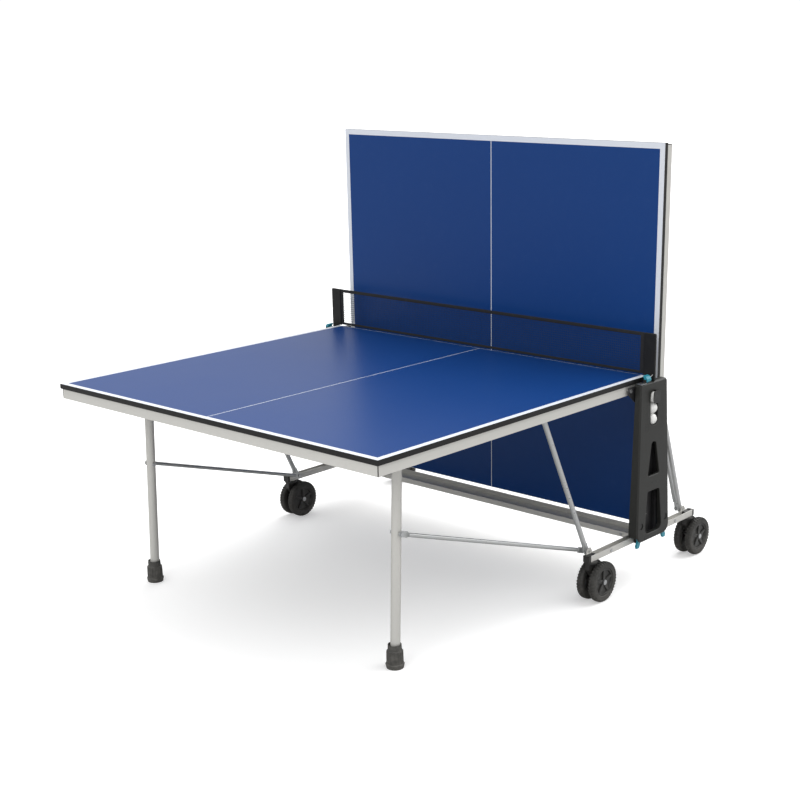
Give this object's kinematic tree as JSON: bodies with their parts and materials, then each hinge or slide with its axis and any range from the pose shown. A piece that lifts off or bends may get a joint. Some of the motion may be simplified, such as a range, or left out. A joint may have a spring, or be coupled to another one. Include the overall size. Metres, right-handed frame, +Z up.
{
  "type": "ping pong table",
  "caption": "Folding ping pong table on swivel casters, one half flat and one half folded upright, with a net, ball dispensers and link rods.",
  "frame": {"origin": "centre of the bounding box's footprint, on the floor under the table", "axes": "+X along the net towards the right side, +Y from the flat half towards the folded half, +Z up"},
  "size_m": [1.6258, 1.797, 1.5525],
  "materials": {
    "board_blue": "satin painted play surface",
    "edge_band": "white line and edge band",
    "steel_light": "satin silver grey powder coat",
    "mount_black": "satin black",
    "carriage_black": "satin black",
    "guide_paint": "satin black",
    "bolt_steel": "zinc plated",
    "rod_steel": "satin grey",
    "pillar_plastic": "grained moulded plastic",
    "dark_plastic": "smooth moulded plastic",
    "post_plastic": "grained moulded plastic",
    "foot_rubber": "moulded rubber",
    "tyre_rubber": "moulded tread",
    "hub_plastic": "smooth moulded plastic",
    "ball_white": "smooth shell",
    "net_mesh": "knotted mesh",
    "accent": "turquoise plastic"
  },
  "bodies": {
    "base": {"side_rails": "steel_light", "cross_beam": "steel_light", "frame_bolts": "bolt_steel", "base_pins": "bolt_steel", "pillars": "pillar_plastic", "pillar_guides": "guide_paint", "ball_chutes": "dark_plastic", "balls": "ball_white", "pillar_pins": "dark_plastic", "latch_rods": "bolt_steel", "pillar_screws": "bolt_steel", "net_posts": "post_plastic", "net": "net_mesh", "end_blocks": "dark_plastic"},
    "near_table": {"near_board": "board_blue", "near_edge_band": "edge_band", "near_apron": "steel_light", "near_leg_mounts": "mount_black", "near_pins": "bolt_steel"},
    "near_carriage": {"near_carriages": "carriage_black"},
    "near_leg": {"near_legs": "steel_light", "near_feet": "foot_rubber", "near_leg_bolts": "bolt_steel"},
    "near_rod": {"near_rods": "rod_steel"},
    "near_stay": {"near_stays": "rod_steel"},
    "far_table": {"far_board": "board_blue", "far_edge_band": "edge_band", "far_apron": "steel_light", "far_leg_mounts": "mount_black", "far_pins": "bolt_steel"},
    "far_carriage": {"far_carriages": "carriage_black"},
    "far_leg": {"far_legs": "steel_light", "far_feet": "foot_rubber", "far_leg_bolts": "bolt_steel"},
    "far_rod": {"far_rods": "rod_steel"},
    "far_stay": {"far_stays": "rod_steel"},
    "caster_near_left": {"fork_near_left": "dark_plastic", "axle_near_left": "bolt_steel"},
    "wheels_near_left": {"tyres_near_left": "tyre_rubber", "hubs_near_left": "hub_plastic"},
    "hook_near_left": {"hook_near_left": "accent"},
    "caster_near_right": {"fork_near_right": "dark_plastic", "axle_near_right": "bolt_steel"},
    "wheels_near_right": {"tyres_near_right": "tyre_rubber", "hubs_near_right": "hub_plastic"},
    "hook_near_right": {"hook_near_right": "accent"},
    "caster_far_left": {"fork_far_left": "dark_plastic", "axle_far_left": "bolt_steel"},
    "wheels_far_left": {"tyres_far_left": "tyre_rubber", "hubs_far_left": "hub_plastic"},
    "hook_far_left": {"hook_far_left": "accent"},
    "caster_far_right": {"fork_far_right": "dark_plastic", "axle_far_right": "bolt_steel"},
    "wheels_far_right": {"tyres_far_right": "tyre_rubber", "hubs_far_right": "hub_plastic"},
    "hook_far_right": {"hook_far_right": "accent"},
    "clip_left": {"clip_left": "accent"},
    "clip_right": {"clip_right": "accent"}
  },
  "joints": [
    {"name": "near_carriage_slide", "type": "slide", "parent": "base", "child": "near_carriage", "axis": [0, 0, 1], "range_m": [-0.436, 0.0005]},
    {"name": "near_fold", "type": "hinge", "parent": "near_carriage", "child": "near_table", "pos_m": [0, 0.3655, 0.724], "axis": [-1, 0, 0], "range_deg": [0, 90]},
    {"name": "near_leg_hinge", "type": "hinge", "parent": "near_table", "child": "near_leg", "pos_m": [0, -0.6475, 0.716], "axis": [-1, 0, 0], "range_deg": [-90.5, 0.5]},
    {"name": "near_rod_hinge", "type": "hinge", "parent": "near_leg", "child": "near_rod", "pos_m": [0, -0.65936, 0.4443], "axis": [-1, 0, 0], "range_deg": [-0.5, 84.81]},
    {"name": "near_stay_hinge", "type": "hinge", "parent": "near_table", "child": "near_stay", "pos_m": [0, -0.09673, 0.724], "axis": [-1, 0, 0], "range_deg": [-45.31, 0.5]},
    {"name": "far_carriage_slide", "type": "slide", "parent": "base", "child": "far_carriage", "axis": [0, 0, 1], "range_m": [-0.0005, 0.436]},
    {"name": "far_unfold", "type": "hinge", "parent": "far_carriage", "child": "far_table", "pos_m": [0, 0.5775, 0.2885], "axis": [-1, 0, 0], "range_deg": [0, 90]},
    {"name": "far_leg_hinge", "type": "hinge", "parent": "far_table", "child": "far_leg", "pos_m": [0, 0.5855, 1.3015], "axis": [-1, 0, 0], "range_deg": [-90.5, 0.5]},
    {"name": "far_rod_hinge", "type": "hinge", "parent": "far_leg", "child": "far_rod", "pos_m": [0, 0.59736, 1.0298], "axis": [-1, 0, 0], "range_deg": [-0.5, 84.81]},
    {"name": "far_stay_hinge", "type": "hinge", "parent": "far_table", "child": "far_stay", "pos_m": [0, 0.5775, 0.75073], "axis": [-1, 0, 0], "range_deg": [-45.31, 0.5]},
    {"name": "caster_swivel_near_left", "type": "hinge", "parent": "base", "child": "caster_near_left", "pos_m": [-0.761, 0.1555, 0.15], "axis": [0, 0, 1], "continuous": true},
    {"name": "wheel_spin_near_left", "type": "hinge", "parent": "caster_near_left", "child": "wheels_near_left", "pos_m": [-0.761, 0.1935, 0.073], "axis": [1, 0, 0], "continuous": true},
    {"name": "hook_swing_near_left", "type": "hinge", "parent": "base", "child": "hook_near_left", "pos_m": [-0.801, 0.3935, 0.228], "axis": [1, 0, 0], "range_deg": [0, 20], "stiffness_Nm_per_rad": 0.3, "springref_deg": -11.46},
    {"name": "caster_swivel_near_right", "type": "hinge", "parent": "base", "child": "caster_near_right", "pos_m": [0.761, 0.1555, 0.15], "axis": [0, 0, 1], "continuous": true},
    {"name": "wheel_spin_near_right", "type": "hinge", "parent": "caster_near_right", "child": "wheels_near_right", "pos_m": [0.761, 0.1935, 0.073], "axis": [1, 0, 0], "continuous": true},
    {"name": "hook_swing_near_right", "type": "hinge", "parent": "base", "child": "hook_near_right", "pos_m": [0.801, 0.3935, 0.228], "axis": [1, 0, 0], "range_deg": [0, 20], "stiffness_Nm_per_rad": 0.3, "springref_deg": -11.46},
    {"name": "caster_swivel_far_left", "type": "hinge", "parent": "base", "child": "caster_far_left", "pos_m": [-0.761, 0.7875, 0.15], "axis": [0, 0, 1], "continuous": true},
    {"name": "wheel_spin_far_left", "type": "hinge", "parent": "caster_far_left", "child": "wheels_far_left", "pos_m": [-0.761, 0.8255, 0.073], "axis": [1, 0, 0], "continuous": true},
    {"name": "hook_swing_far_left", "type": "hinge", "parent": "base", "child": "hook_far_left", "pos_m": [-0.801, 0.5495, 0.228], "axis": [-1, 0, 0], "range_deg": [0, 20], "stiffness_Nm_per_rad": 0.3, "springref_deg": -11.46},
    {"name": "caster_swivel_far_right", "type": "hinge", "parent": "base", "child": "caster_far_right", "pos_m": [0.761, 0.7875, 0.15], "axis": [0, 0, 1], "continuous": true},
    {"name": "wheel_spin_far_right", "type": "hinge", "parent": "caster_far_right", "child": "wheels_far_right", "pos_m": [0.761, 0.8255, 0.073], "axis": [1, 0, 0], "continuous": true},
    {"name": "hook_swing_far_right", "type": "hinge", "parent": "base", "child": "hook_far_right", "pos_m": [0.801, 0.5495, 0.228], "axis": [-1, 0, 0], "range_deg": [0, 20], "stiffness_Nm_per_rad": 0.3, "springref_deg": -11.46},
    {"name": "clip_lift_left", "type": "hinge", "parent": "base", "child": "clip_left", "pos_m": [-0.789, 0.4365, 0.752], "axis": [0, -1, 0], "range_deg": [0, 15], "stiffness_Nm_per_rad": 0.2, "springref_deg": -11.46},
    {"name": "clip_lift_right", "type": "hinge", "parent": "base", "child": "clip_right", "pos_m": [0.789, 0.4365, 0.752], "axis": [0, 1, 0], "range_deg": [0, 15], "stiffness_Nm_per_rad": 0.2, "springref_deg": -11.46}
  ],
  "couplings": [
    {"joint": "near_carriage_slide", "follows": "near_fold", "m_per_rad": -0.27725},
    {"joint": "near_leg_hinge", "follows": "near_fold", "ratio": -1},
    {"joint": "near_rod_hinge", "follows": "near_fold", "ratio": 0.93679},
    {"joint": "near_stay_hinge", "follows": "near_fold", "ratio": -0.4979},
    {"joint": "far_carriage_slide", "follows": "far_unfold", "m_per_rad": 0.27725},
    {"joint": "far_leg_hinge", "follows": "far_unfold", "ratio": -1},
    {"joint": "far_rod_hinge", "follows": "far_unfold", "ratio": 0.93679},
    {"joint": "far_stay_hinge", "follows": "far_unfold", "ratio": -0.4979}
  ]
}
